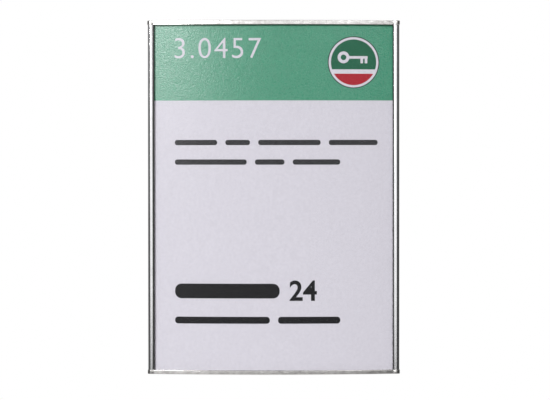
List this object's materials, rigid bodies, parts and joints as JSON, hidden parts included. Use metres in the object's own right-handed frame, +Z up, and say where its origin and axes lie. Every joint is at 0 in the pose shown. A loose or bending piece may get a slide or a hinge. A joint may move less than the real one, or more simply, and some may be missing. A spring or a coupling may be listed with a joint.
{
  "type": "door sign",
  "caption": "Curved aluminium door sign with bead rails, end plates, a printed insert and a matte clear cover held in grooves.",
  "frame": {"origin": "centre of the back face that lies on the door", "axes": "+X to the viewer's right, +Z up, +Y into the door; the front faces -Y"},
  "size_m": [0.1542, 0.0146, 0.2158],
  "materials": {
    "anodised_aluminium": "satin",
    "plate_aluminium": "satin",
    "screw_steel": "satin",
    "printed_paper": "matte",
    "matte_clear_plastic": "matte"
  },
  "bodies": {
    "root": {"base_profile": "anodised_aluminium", "top_end_plate": "plate_aluminium", "bottom_end_plate": "plate_aluminium", "end_plate_screws": "screw_steel", "paper_insert": "printed_paper", "clear_cover": "matte_clear_plastic"}
  },
  "joints": []
}
